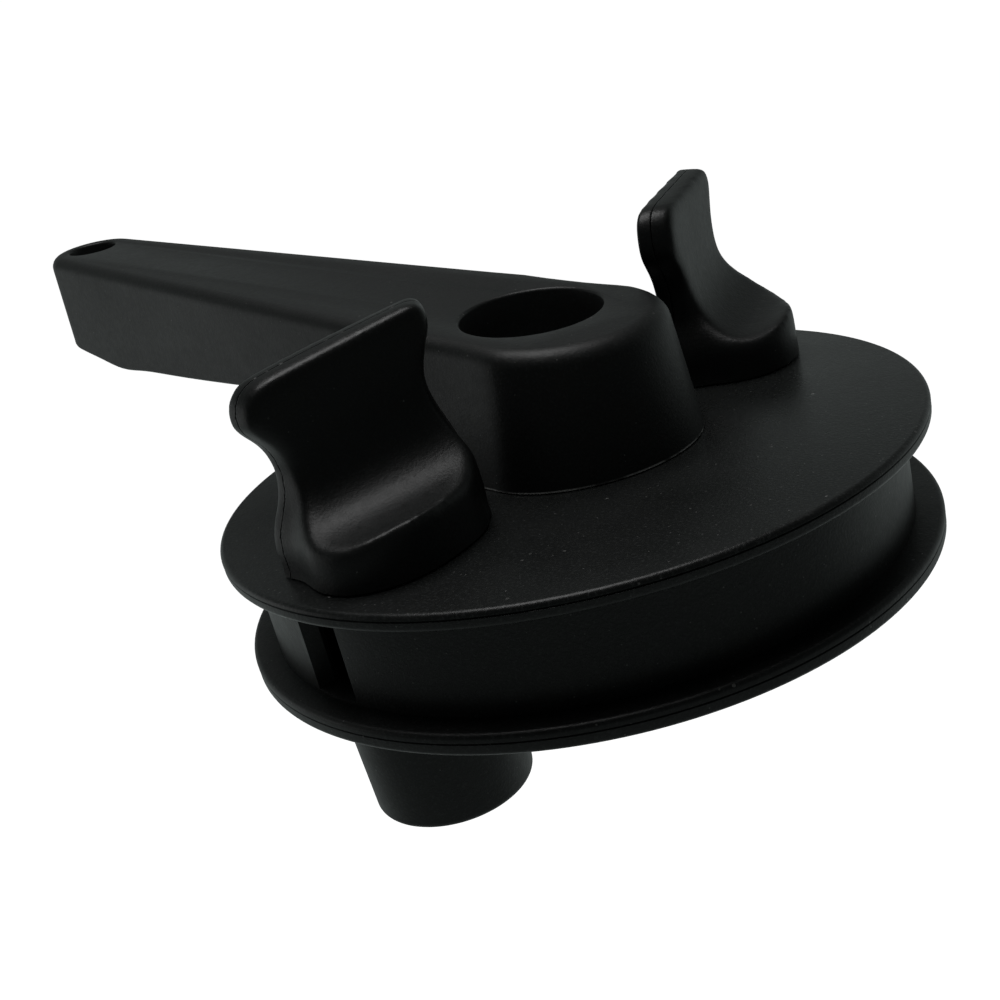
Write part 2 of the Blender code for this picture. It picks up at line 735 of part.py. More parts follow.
def make_crank():
    """Post through the lower flange, and the tapered sleeve that turns on it."""
    head_low = LOWER_TOP + GAP
    web_z = CRANK_END_Z + 4.6 * MM
    post_end = web_z - GAP
    post_profile = [
        (PILOT_R, head_low + 2.2 * MM),
        (7.6 * MM, head_low + 2.2 * MM),
        (8.0 * MM, head_low + 1.8 * MM),
        (8.0 * MM, head_low),
        (AXLE_R, head_low),
        (AXLE_R, post_end + 0.4 * MM),
        (AXLE_R - 0.4 * MM, post_end),
        (PILOT_R, post_end),
    ]
    post = turned("crank_axle", post_profile, steps=32)
    post.location = (0.0, CRANK_Y, 0.0)
    finish_part(post, "crank_axle")

    top = LOWER_BOTTOM - GAP
    end = CRANK_END_Z
    bore = AXLE_R + GAP
    sink_r = 7.2 * MM
    edge = 1.0 * MM
    draft = (CRANK_TOP_R - CRANK_END_R) / (top - end)
    slope_r = CRANK_END_R + draft * edge
    profile = [(bore, top), (CRANK_TOP_R - 0.3 * MM, top), (CRANK_TOP_R, top - 0.3 * MM)]
    profile += arc((slope_r - edge, end + edge), edge, 0.0, -90.0, 4)
    profile += [(sink_r, end), (sink_r, web_z), (bore, web_z)]
    sleeve = turned("crank_sleeve", profile, steps=RING_STEPS)
    sleeve.location = (0.0, CRANK_Y, 0.0)
    finish_part(sleeve, "crank_sleeve")

    washer_high = post_end - GAP
    washer = make_ring("crank_washer", PILOT_R, 6.6 * MM, washer_high - 0.8 * MM, washer_high, "steel")
    washer.location = (0.0, CRANK_Y, 0.0)
    make_screws(["crank_screw"], [(0.0, CRANK_Y)], washer_high - 0.8 * MM - GAP, 13.0 * MM, 3.2 * MM, 1.9 * MM)


# ---------------------------------------------------------------- assembly

def main():
    groove_low, groove_high = make_hub_sleeve()
    bush_inner = SLEEVE_R + GAP
    make_ring("upper_bush", bush_inner, BUSH_R, -6.3 * MM, -GAP, "bush")
    make_ring("lower_bush", bush_inner, BUSH_R, RECESS_TOP + GAP, RECESS_TOP + 6.3 * MM, "bush")
    make_ring("upper_thrust_washer", bush_inner, THRUST_R, GAP, GAP + WASHER_THICK, "bush")
    stack_top = RECESS_TOP - GAP
    make_ring("lower_thrust_washer", bush_inner, 17.5 * MM, stack_top - WASHER_THICK, stack_top, "bush")
    wave_top = stack_top - WASHER_THICK - GAP
    make_wave_washer(bush_inner, 16.5 * MM, groove_high, wave_top)
    make_retaining_ring(groove_low, groove_high)

    make_drum_shell()
    make_upper_flange()
    make_wing("thumb_wing_near", "near")
    make_wing("thumb_wing_far", "far")
    make_lever()

    flange_names = ["flange_screw_%d" % number for number in range(1, 5)]
    flange_spots = [at_azimuth(FLANGE_SCREW_RADIUS, azimuth) for azimuth in screw_azimuths()]
    sink_top = LOWER_BOTTOM + SCREW_HEAD_H + 0.6 * MM
    make_screws(flange_names, flange_spots, sink_top - GAP, 13.0 * MM)
    lid_seat = -FLANGE_THICK - GAP
    make_screws(["wing_screw_near_1", "wing_screw_near_2"], wing_screw_spots("near"), lid_seat, 6.6 * MM)
    make_screws(["wing_screw_far_1", "wing_screw_far_2"], wing_screw_spots("far"), lid_seat, 6.6 * MM)
    make_crank()


main()
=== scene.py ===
"""Looks of the lever-and-drum line winder: fine surfaces, moulded plastic, studio light and camera.

Metres, in the CAD frame: the origin is on the hub axis, level with the lid's top face, and the lever points
along -X. Every visible CAD node is replaced by a finer piece of the same size. A few looks aren't in the CAD:
higher thumb seats, the slot's lead-in, the arm's draft and the hump under its tip.
"""

from math import atan2, cos, exp, pi, radians, sin

import bmesh
import bpy
from mathutils import Matrix, Vector


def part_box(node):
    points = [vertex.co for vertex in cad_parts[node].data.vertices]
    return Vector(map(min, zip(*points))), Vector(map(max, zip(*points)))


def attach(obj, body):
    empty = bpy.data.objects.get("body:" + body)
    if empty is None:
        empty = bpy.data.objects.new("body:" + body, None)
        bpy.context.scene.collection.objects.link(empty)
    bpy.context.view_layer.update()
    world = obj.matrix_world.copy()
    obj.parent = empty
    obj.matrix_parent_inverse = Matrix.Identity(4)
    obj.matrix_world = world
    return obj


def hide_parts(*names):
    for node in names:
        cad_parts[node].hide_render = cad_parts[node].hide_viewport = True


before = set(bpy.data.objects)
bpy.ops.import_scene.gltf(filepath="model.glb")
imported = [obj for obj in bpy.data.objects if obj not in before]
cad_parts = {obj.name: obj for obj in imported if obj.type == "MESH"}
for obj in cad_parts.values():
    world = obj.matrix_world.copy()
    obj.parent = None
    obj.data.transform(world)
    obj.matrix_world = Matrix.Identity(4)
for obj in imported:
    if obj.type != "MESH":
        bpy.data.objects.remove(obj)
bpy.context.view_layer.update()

MM = 0.001
GAP = 0.3 * MM

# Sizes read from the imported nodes
_, LID_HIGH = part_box("upper_flange")
SHELL_LOW, SHELL_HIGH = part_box("drum_shell")
LEVER_LOW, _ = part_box("lever_arm")
SLEEVE_LOW, SLEEVE_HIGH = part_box("hub_sleeve")
PEG_LOW, PEG_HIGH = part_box("crank_sleeve")

FLANGE_R = LID_HIGH.x
FLANGE_THICK = 2.4 * MM
RIM_ROUND = 0.7 * MM
WALL_R = 46.3 * MM
WALL_THICK = 2.6 * MM
WALL_TOP = SHELL_HIGH.z
LOWER_BOTTOM = SHELL_LOW.z
LOWER_TOP = -FLANGE_THICK - 13.25 * MM
SLOT_WIDTH = 7.0 * MM
SLOT_SILL = 1.0 * MM

BORE_R = 10.0 * MM
SLEEVE_R = SLEEVE_HIGH.x
HUB_HOLE_R = SLEEVE_R + 2.3 * MM
HUB_TUBE_R = 16.8 * MM
RECESS_R = 18.5 * MM
RECESS_TOP = -13.75 * MM

LEVER_TOP = 19.65 * MM
LEVER_RISE = 0.109
NOSE_R = 16.6 * MM
NOSE_X = 4.8 * MM
ARM_HALF_AT_AXIS = 14.9 * MM
ARM_TAPER = 0.0485
TIP_X = LEVER_LOW.x
TIP_HOLE_X = -125.0 * MM
TIP_HOLE_R = 4.6 * MM
ARM_UNDERSIDE = 10.6 * MM
TIP_LIFT = 6.4 * MM
TIP_LIFT_LENGTH = 20.0 * MM
TIP_HUMP = 0.8 * MM
TIP_HUMP_AT = 26.0 * MM
TIP_HUMP_WIDTH = 8.0 * MM
BOSS_BACK_X = -17.0 * MM
BOSS_BLEND_R = 9.0 * MM
FOOT_Z = LEVER_LOW.z
LEVER_EDGE = 2.2 * MM
BOSS_DRAFT = 1.9 * MM
ARM_DRAFT = 0.06
LEVER_WALL = 3.2 * MM

WING_THICK = 5.1 * MM
WING_DRAFT = 2.0 * MM
SEAT_HEIGHT = 7.5 * MM
SEAT_DIP = 0.8 * MM
HOLLOW_R = 9.0 * MM
SEAT_TILT = 0.1              # the seat rises by one part in ten along the wing
BASE_MARGIN = 4.0 * MM
SHOULDER_Z = 18.0 * MM
CREST_Z = 27.0 * MM
PARTING_X = -2.8 * MM
PARTING_WIDTH = 0.12 * MM
PARTING_DEPTH = 0.16 * MM
SKIN_VOXEL = 0.3 * MM
SKIN_SMOOTHING = 120
WINGS = {
    "near": (2.3 * MM, -33.1 * MM, radians(-17.0), -0.4 * MM, 0.15),
    "far": (2.3 * MM, 34.8 * MM, radians(23.6), 0.4 * MM, 0.06),
}

CRANK_Y = 0.5 * (PEG_LOW.y + PEG_HIGH.y)
CRANK_TOP_R = PEG_HIGH.x
CRANK_END_R = 10.9 * MM
CRANK_END_Z = PEG_LOW.z
AXLE_R = 5.0 * MM
CRANK_SCREW_HEAD_R = 3.2 * MM
CRANK_SCREW_HEAD_H = 1.9 * MM

SCREW_SHANK_R = 1.5 * MM
SCREW_HEAD_R = 2.8 * MM
SCREW_HEAD_H = 1.8 * MM
PILOT_R = SCREW_SHANK_R + GAP
FLANGE_SCREW_RADIUS = 36.0 * MM
PILLAR_R = 4.0 * MM
PILLAR_SPLIT = -8.0 * MM

SHARP_EDGE = radians(38.0)  # an edge at least this sharp is rounded
NEAR_TOP = 0.05 * MM        # how close to the lever's top face counts as on it

HELPERS = []


# ---------------------------------------------------------------- materials

class Nodes:
    """A short way to wire a material's nodes."""

    def __init__(self, name):
        self.material = bpy.data.materials.new(name)
        self.material.use_nodes = True
        self.tree = self.material.node_tree
        self.shader = self.tree.nodes["Principled BSDF"]

    def add(self, kind, **settings):
        node = self.tree.nodes.new(kind)
        for key, value in settings.items():
            setattr(node, key, value)
        return node

    def link(self, output, target):
        self.tree.links.new(output, target)
        return target.node

    def coordinates(self):
        return self.add("ShaderNodeTexCoord").outputs["Object"]

    def noise(self, source, scale, detail=3.0, roughness=0.55, stretch=None):
        if stretch is not None:
            mapping = self.add("ShaderNodeMapping")
            mapping.inputs["Scale"].default_value = stretch
            self.link(source, mapping.inputs["Vector"])
            source = mapping.outputs["Vector"]
        node = self.add("ShaderNodeTexNoise")
        node.inputs["Scale"].default_value = scale
        node.inputs["Detail"].default_value = detail
        node.inputs["Roughness"].default_value = roughness
        self.link(source, node.inputs["Vector"])
        return node.outputs["Fac"]

    def spread(self, source, low_in, high_in, low_out, high_out):
        node = self.add("ShaderNodeMapRange", clamp=True)
        values = (low_in, high_in, low_out, high_out)
        for key, value in zip(("From Min", "From Max", "To Min", "To Max"), values):
            node.inputs[key].default_value = value
        self.link(source, node.inputs["Value"])
        return node.outputs["Result"]

    def math(self, operation, first, second):
        node = self.add("ShaderNodeMath", operation=operation)
        for slot, value in zip(node.inputs, (first, second)):
            if isinstance(value, (int, float)):
                slot.default_value = value
            else:
                self.link(value, slot)
        return node.outputs[0]

    def mix(self, factor, first, second):
        node = self.add("ShaderNodeMix", data_type="RGBA")
        for slot, value in zip((node.inputs[0], node.inputs[6], node.inputs[7]), (factor, first, second)):
            if isinstance(value, tuple):
                slot.default_value = (*value, 1.0)
            elif isinstance(value, (int, float)):
                slot.default_value = value
            else:
                self.link(value, slot)
        return node.outputs[2]

    def bump(self, height, strength, distance, below=None):
        node = self.add("ShaderNodeBump")
        node.inputs["Strength"].default_value = strength
        node.inputs["Distance"].default_value = distance
        self.link(height, node.inputs["Height"])
        if below is not None:
            self.link(below, node.inputs["Normal"])
        return node.outputs["Normal"]


def specks(nodes, source, scale, share, size):
    """Dust: a small dot in a random share of cells."""
    cells = nodes.add("ShaderNodeTexVoronoi", feature="F1")
    cells.inputs["Scale"].default_value = scale
    nodes.link(source, cells.inputs["Vector"])
    split = nodes.add("ShaderNodeSeparateColor")
    nodes.link(cells.outputs["Color"], split.inputs["Color"])
    chosen = nodes.spread(split.outputs["Red"], 1.0 - share, 1.0 - share + 0.01, 0.0, 1.0)
    wide = nodes.math("MULTIPLY", split.outputs["Green"], size)
    near = nodes.math("LESS_THAN", cells.outputs["Distance"], wide)
    return nodes.math("MULTIPLY", near, chosen)


HAIRLINE_HIGHLIGHT_START = 0.16 * MM
HAIRLINE_HIGHLIGHT_END = 0.3 * MM
HAIRLINE_HIGHLIGHT_TONE = (0.6, 0.6, 0.585)
DUST_TONE = (0.3, 0.3, 0.29)
SHADOW_TONE = (0.0005, 0.0005, 0.0005)


def moulded_plastic(name, dark, light, rough, dust, fleck_share, parting_x=None, foot_z=None):
    """Satin black moulding: fine grain, slight clouding, pale dust, and edges rubbed smoother and painted
    lighter as a highlight.

    parting_x paints shade into the fine mould line there. foot_z paints a pale hairline highlight at that
    height.
    """
    nodes = Nodes(name)
    place = nodes.coordinates()
    clouds = nodes.noise(place, 55.0, 4.0, 0.6)
    grain = nodes.noise(place, 2600.0, 2.0, 0.6)
    pores = nodes.noise(place, 900.0, 3.0, 0.65)
    tone = nodes.mix(nodes.spread(clouds, 0.35, 0.68, 0.0, 1.0), dark, light)
    fleck = nodes.spread(grain, 0.53, 0.68, 0.0, fleck_share)
    tone = nodes.mix(fleck, tone, tuple(3.2 * value for value in light))
    patch = nodes.spread(nodes.noise(place, 38.0, 2.0, 0.5), 0.42, 0.6, 0.15, 1.0)
    dots = nodes.math("MULTIPLY", specks(nodes, place, 520.0, dust, 0.13), patch)
    fine = specks(nodes, place, 1500.0, 0.8 * dust, 0.2)
    both = nodes.math("MAXIMUM", nodes.math("MULTIPLY", fine, 0.45), dots)
    tone = nodes.mix(nodes.math("MULTIPLY", both, 0.8), tone, DUST_TONE)
    # Painted highlight: sharp edges, found by pointiness, are painted lighter as if catching light; the same
    # mask also lowers their roughness as rubbed edges.
    edge = nodes.add("ShaderNodeNewGeometry").outputs["Pointiness"]
    edge_rub_and_highlight = nodes.spread(edge, 0.515, 0.58, 0.0, 0.35)
    tone = nodes.mix(edge_rub_and_highlight, tone, tuple(1.8 * value for value in light))
    if parting_x is not None or foot_z is not None:
        axes = nodes.add("ShaderNodeSeparateXYZ")
        nodes.link(place, axes.inputs["Vector"])
    if parting_x is not None:
        # Painted shade: the mould line's groove is painted nearly black.
        offset = nodes.math("ABSOLUTE", nodes.math("SUBTRACT", axes.outputs["X"], parting_x), 0.0)
        tone = nodes.mix(nodes.spread(offset, 0.05 * MM, 0.1 * MM, 0.97, 0.0), tone, SHADOW_TONE)
    if foot_z is not None:
        # Painted highlight: a pale hairline just above foot_z, broken by noise, stands in for light caught
        # along the boss's foot.
        line = nodes.spread(axes.outputs["Z"], foot_z + HAIRLINE_HIGHLIGHT_START, foot_z + HAIRLINE_HIGHLIGHT_END, 1.0, 0.0)
        broken = nodes.spread(nodes.noise(place, 240.0, 2.0, 0.6), 0.36, 0.5, 0.15, 0.9)
        tone = nodes.mix(nodes.math("MULTIPLY", line, broken), tone, HAIRLINE_HIGHLIGHT_TONE)
    nodes.link(tone, nodes.shader.inputs["Base Color"])
    base = nodes.spread(clouds, 0.3, 0.7, rough - 0.03, rough + 0.04)
    gritty = nodes.math("ADD", base, nodes.spread(pores, 0.3, 0.7, -0.03, 0.03))
    smooth = nodes.math("MULTIPLY", edge_rub_and_highlight, 0.25)
    nodes.link(nodes.math("SUBTRACT", gritty, smooth), nodes.shader.inputs["Roughness"])
    low = nodes.bump(pores, 0.4, 0.00006)
    nodes.link(nodes.bump(grain, 0.6, 0.00005, low), nodes.shader.inputs["Normal"])
    nodes.shader.inputs["IOR"].default_value = 1.47
    nodes.shader.inputs["Specular IOR Level"].default_value = 0.45
    return nodes.material


def turned_metal(name, tone, rough):
    """Turned or pressed steel: fine rings round the axis, light stains."""
    nodes = Nodes(name)
    place = nodes.coordinates()
    split = nodes.add("ShaderNodeSeparateXYZ")
    nodes.link(place, split.inputs["Vector"])
    across = nodes.math("MULTIPLY", split.outputs["X"], split.outputs["X"])
    along = nodes.math("MULTIPLY", split.outputs["Y"], split.outputs["Y"])
    radius = nodes.math("SQRT", nodes.math("ADD", across, along), 0.0)
    rings = nodes.add("ShaderNodeTexNoise", noise_dimensions="1D")
    rings.inputs["Scale"].default_value = 5200.0
    rings.inputs["Detail"].default_value = 2.0
    nodes.link(nodes.math("ADD", radius, split.outputs["Z"]), rings.inputs["W"])
    stain = nodes.noise(place, 160.0, 4.0, 0.6)
    dull = tuple(0.72 * value for value in tone)
    colour = nodes.mix(nodes.spread(stain, 0.4, 0.7, 0.0, 0.8), tone, dull)
    colour = nodes.mix(nodes.spread(rings.outputs["Fac"], 0.4, 0.7, 0.0, 0.25), colour, dull)
    nodes.link(colour, nodes.shader.inputs["Base Color"])
    nodes.shader.inputs["Metallic"].default_value = 1.0
    rough_map = nodes.math(
        "ADD",
        nodes.spread(stain, 0.3, 0.7, rough - 0.05, rough + 0.08),
        nodes.spread(rings.outputs["Fac"], 0.3, 0.7, -0.04, 0.05),
    )
    nodes.link(rough_map, nodes.shader.inputs["Roughness"])
    nodes.link(nodes.bump(rings.outputs["Fac"], 0.2, 0.00002), nodes.shader.inputs["Normal"])
    return nodes.material


def bearing_plastic(name, dark, light, rough):
    """Machined bearing plastic: milky tone, faint turned rings."""
    nodes = Nodes(name)
    place = nodes.coordinates()
    clouds = nodes.noise(place, 120.0, 3.0, 0.5)
    marks = nodes.noise(place, 1500.0, 2.0, 0.6, stretch=(0.2, 0.2, 1.0))
    tone = nodes.mix(nodes.spread(clouds, 0.35, 0.7, 0.0, 1.0), dark, light)
    tone = nodes.mix(nodes.spread(marks, 0.5, 0.75, 0.0, 0.3), tone, tuple(0.75 * value for value in dark))
    nodes.link(tone, nodes.shader.inputs["Base Color"])
    nodes.link(nodes.spread(marks, 0.3, 0.7, rough - 0.05, rough + 0.07), nodes.shader.inputs["Roughness"])
    nodes.link(nodes.bump(marks, 0.2, 0.00003), nodes.shader.inputs["Normal"])
    return nodes.material


DEEP_BLACK = (0.0085, 0.0095, 0.0092)
SOFT_BLACK = (0.0135, 0.0145, 0.0142)

LEVER_PLASTIC = moulded_plastic(
    "lever_moulding", (0.0105, 0.0115, 0.0112), SOFT_BLACK, 0.45, dust=0.07, fleck_share=0.3, foot_z=FOOT_Z
)
LID_PLASTIC = moulded_plastic("lid_moulding", DEEP_BLACK, SOFT_BLACK, 0.36, dust=0.3, fleck_share=0.7)
DRUM_PLASTIC = moulded_plastic("drum_moulding", DEEP_BLACK, SOFT_BLACK, 0.42, dust=0.25, fleck_share=0.5)
WING_PLASTIC = moulded_plastic(
    "wing_moulding",
    (0.0095, 0.0105, 0.0102),
    (0.012, 0.013, 0.0127),
    0.4,
    dust=0.03,
    fleck_share=0.2,
    parting_x=PARTING_X,
)
PEG_PLASTIC = moulded_plastic(
    "peg_moulding", (0.011, 0.012, 0.0117), (0.0145, 0.0155, 0.0152), 0.5, dust=0.08, fleck_share=0.5
)
POST_PLASTIC = bearing_plastic("post_plastic", (0.04, 0.04, 0.041), (0.06, 0.06, 0.06), 0.42)
BUSH_PLASTIC = bearing_plastic("bush_plastic", (0.50, 0.48, 0.43), (0.60, 0.58, 0.53), 0.42)
STEEL = turned_metal("plain_steel", (0.56, 0.57, 0.58), 0.32)
SCREW_STEEL = turned_metal("black_screw_steel", (0.09, 0.09, 0.095), 0.36)


# ---------------------------------------------------------------- making pieces

def add_object(name, mesh, helper=False):
    thing = bpy.data.objects.new(name, mesh)
    bpy.context.scene.collection.objects.link(thing)
    if helper:
        HELPERS.append(thing)
    return thing


def drop_helpers():
    for thing in HELPERS:
        mesh = thing.data
        bpy.data.objects.remove(thing, do_unlink=True)
        if isinstance(mesh, bpy.types.Mesh) and mesh.users == 0:
            bpy.data.meshes.remove(mesh)
    HELPERS.clear()


def evaluated_mesh(thing):
    graph = bpy.context.evaluated_depsgraph_get()
    return bpy.data.meshes.new_from_object(thing.evaluated_get(graph))


def bake(thing, flatten_degrees=0.0, weld=0.005 * MM):
    """Apply the modifiers, weld close points, and join flat neighbouring faces."""
    mesh = evaluated_mesh(thing)
    cage = bmesh.new()
    cage.from_mesh(mesh)
    if flatten_degrees > 0.0:
        bmesh.ops.dissolve_limit(
            cage, angle_limit=radians(flatten_degrees), verts=cage.verts, edges=cage.edges
        )
    bmesh.ops.remove_doubles(cage, verts=cage.verts, dist=weld)
    cage.to_mesh(mesh)
    cage.free()
    old = thing.data
    thing.modifiers.clear()
    thing.data = mesh
    bpy.data.meshes.remove(old)
    return thing


def finish_piece(thing, material, body, replaced, sharp_degrees=38.0):
    thing.data.materials.clear()
    thing.data.materials.append(material)
    thing.data.shade_smooth()
    if sharp_degrees:
        thing.data.set_sharp_from_angle(angle=radians(sharp_degrees))
    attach(thing, body)
    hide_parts(replaced)
    return thing


def arc(centre, radius, start_degrees, end_degrees, count):
    """Points on an arc, both ends included."""
    points = []
    for index in range(count + 1):
        angle = radians(start_degrees + (end_degrees - start_degrees) * index / count)
        points.append((centre[0] + radius * cos(angle), centre[1] + radius * sin(angle)))
    return points


def at_azimuth(radius, azimuth):
    return (radius * cos(azimuth), radius * sin(azimuth))


def turned(name, profile, steps=128, helper=False):
    """Turn a profile of (radius, height) points about Z. It runs down its outer side."""
    mesh = bpy.data.meshes.new(name)
    cage = bmesh.new()
    points = [cage.verts.new((radius, 0.0, height)) for radius, height in profile]
    for first, second in zip(points, points[1:]):
        cage.edges.new((first, second))
    if profile[0][0] > 0.0:
        cage.edges.new((points[-1], points[0]))
    cage.to_mesh(mesh)
    cage.free()
    thing = add_object(name, mesh, helper)
    screw = thing.modifiers.new("turn", "SCREW")
    screw.axis = "Z"
    screw.angle = 2.0 * pi
    screw.steps = steps
    screw.render_steps = steps
    screw.use_merge_vertices = True
    screw.merge_threshold = 0.01 * MM
    return bake(thing)


def cylinder(name, radius, low, high, spot=(0.0, 0.0), steps=48):
    thing = turned(name, [(0.0, high), (radius, high), (radius, low), (0.0, low)], steps, helper=True)
    thing.location = (spot[0], spot[1], 0.0)
    return thing


def block(name, low, high):
    mesh = bpy.data.meshes.new(name)
    cage = bmesh.new()
    bmesh.ops.create_cube(cage, size=1.0)
    bmesh.ops.scale(cage, vec=Vector(high) - Vector(low), verts=cage.verts)
    bmesh.ops.translate(cage, vec=0.5 * (Vector(high) + Vector(low)), verts=cage.verts)
    cage.to_mesh(mesh)
    cage.free()
    return add_object(name, mesh, helper=True)


def loft(name, sections, helper=False):
    """Skin outlines that have the same number of points, and close both ends."""
    mesh = bpy.data.meshes.new(name)
    cage = bmesh.new()
    rows = [[cage.verts.new(point) for point in section] for section in sections]
    for row, following in zip(rows, rows[1:]):
        for index in range(len(row)):
            after = (index + 1) % len(row)
            cage.faces.new((row[index], row[after], following[after], following[index]))
    cage.faces.new(rows[0])
    cage.faces.new(rows[-1])
    bmesh.ops.recalc_face_normals(cage, faces=cage.faces)
    cage.to_mesh(mesh)
    cage.free()
    return add_object(name, mesh, helper)


def slab(name, outline, low, high, placement=None, helper=True):
    """Extrude a flat outline from low to high along its own Z, then place it."""
    placement = placement or Matrix.Identity(4)
    sections = [[placement @ Vector((x, y, level)) for x, y in outline] for level in (low, high)]
    return loft(name, sections, helper)


def boolean(thing, other, operation="DIFFERENCE"):
    step = thing.modifiers.new(operation.lower(), "BOOLEAN")
    step.operation = operation
    step.solver = "EXACT"
    step.object = other


def smooth_loop(points, pieces=4):
    """A closed curve through the points, with more points between them."""
    count = len(points)
    loop = []
    for index in range(count):
        before, here, there, beyond = (Vector(points[(index + shift) % count]) for shift in (-1, 0, 1, 2))
        for piece in range(pieces):
            t = piece / pieces
            first = 2.0 * here
            second = (there - before) * t
            third = (2.0 * before - 5.0 * here + 4.0 * there - beyond) * t * t
            fourth = (3.0 * here - before - 3.0 * there + beyond) * t * t * t
            loop.append(tuple(0.5 * (first + second + third + fourth)))
    return loop


def weigh_edges(thing, choose):
    """Give each edge the bevel weight that choose returns for it."""
    cage = bmesh.new()
    cage.from_mesh(thing.data)
    layers = cage.edges.layers.float
    layer = layers.get("bevel_weight_edge") or layers.new("bevel_weight_edge")
    for edge in cage.edges:
        edge[layer] = choose(edge)
    cage.to_mesh(thing.data)
    cage.free()


def bevel_weighted(thing, width, segments):
    step = thing.modifiers.new("edges", "BEVEL")
    step.width = width
    step.segments = segments
    step.limit_method = "WEIGHT"
    step.use_clamp_overlap = False
    bake(thing)


# ---------------------------------------------------------------- lever

def arm_half(x):
    return ARM_HALF_AT_AXIS + ARM_TAPER * x


def lever_top(x):
    return LEVER_TOP - LEVER_RISE * x


def lever_plan():
    """Plan outline: a round nose round the hub, straight tapering sides and a round tip."""
    nose = arc((NOSE_X, 0.0), NOSE_R, -84.0, 84.0, 60)
    tip_r = 8.8 * MM
    tip_x = TIP_X + tip_r
    half = arm_half(tip_x)
    tip = [(tip_x + tip_r * cos(radians(a)), half * sin(radians(a))) for a in range(93, 268, 6)]
    side_x = -21.0 * MM
    joins = [(4.0, 16.44), (1.5, 16.2), (-1.5, 15.8), (-5.0, 15.28), (-9.0, 14.76), (-14.0, 14.3)]
    joins = [(x * MM, y * MM) for x, y in joins] + [(side_x, arm_half(side_x))]
    lower = [(x, -y) for x, y in reversed(joins)]
    return nose + joins + tip + lower


def arm_underside(inwards):
    """Height of the arm's underside at a distance from the tip: it lifts at the tip, past a shallow hump."""
    lift = TIP_LIFT * exp(-inwards / TIP_LIFT_LENGTH)
    hump = TIP_HUMP * exp(-(((inwards - TIP_HUMP_AT) / TIP_HUMP_WIDTH) ** 2))
    return ARM_UNDERSIDE + 0.1 * MM + lift - hump


def lever_side_view():
    """Side outline, as (x, z): sloping top, level underside that lifts at the tip, and the boss's foot."""
    front = NOSE_X + NOSE_R + 5.0 * MM
    back = TIP_X - 5.0 * MM
    outline = [(front, FOOT_Z), (front, lever_top(front)), (back, lever_top(back))]
    outline += [(back, arm_underside(0.0))]
    outline += [(TIP_X + step * 2.0 * MM, arm_underside(step * 2.0 * MM)) for step in range(1, 38)]
    outline += arc((BOSS_BACK_X - BOSS_BLEND_R, ARM_UNDERSIDE - BOSS_BLEND_R), BOSS_BLEND_R, 90.0, 0.0, 16)
    outline += [(BOSS_BACK_X, FOOT_Z)]
    return outline


def lean_sides(thing):
    """Draft: the boss's sides lean in towards the top, and the arm's sides spread towards the bottom."""
    cage = bmesh.new()
    cage.from_mesh(thing.data)
    for vertex in cage.verts:
        x, y, z = vertex.co
        share = min(1.0, max(0.0, (x + 14.0 * MM) / (14.0 * MM)))
        height = lever_top(x) - FOOT_Z
        outward = Vector((max(0.0, x - NOSE_X), y)).normalized()
        on_top = abs(z - lever_top(x)) < 0.02 * MM
        vertex.co.xy -= outward * BOSS_DRAFT * share * max(0.0, z - FOOT_Z) / height
        sideways = min(1.0, max(-1.0, y / (6.0 * MM)))
        vertex.co.y += ARM_DRAFT * (1.0 - share) * (lever_top(x) - z) * sideways
        if on_top:
            vertex.co.z = lever_top(vertex.co.x)
    cage.to_mesh(thing.data)
    cage.free()


def lever_edge_weight(edge):
    if edge.calc_face_angle(0.0) < SHARP_EDGE:
        return 0.0
    if all(vertex.co.z < FOOT_Z + 0.05 * MM for vertex in edge.verts):
        return 0.03
    on_top = all(abs(vertex.co.z - lever_top(vertex.co.x)) < NEAR_TOP for vertex in edge.verts)
    return 1.0 if on_top else 0.3


def hole_edge_weight(edge):
    if edge.calc_face_angle(0.0) < SHARP_EDGE:
        return 0.0
    for centre, radius in ((0.0, BORE_R), (TIP_HOLE_X, TIP_HOLE_R)):
        if all(
            abs(Vector((vertex.co.x - centre, vertex.co.y)).length - radius) < 0.03 * MM
            and abs(vertex.co.z - lever_top(vertex.co.x)) < NEAR_TOP
            for vertex in edge.verts
        ):
            return 1.0
    return 0.0


def pocket_outlines():
    """Two rows of pockets under the arm, with a rib between each and its neighbours."""
    pitch = 14.2 * MM
    first = TIP_X + 19.0 * MM
    outlines = []
    for index in range(6):
        start = first + index * pitch
        end = start + pitch - 2.0 * MM
        for side in (-1, 1):
            near = side * MM
            far_start = side * (arm_half(start) - LEVER_WALL)
            far_end = side * (arm_half(end) - LEVER_WALL)
            outlines.append(([(start, near), (end, near), (end, far_end), (start, far_start)], end))
    return outlines


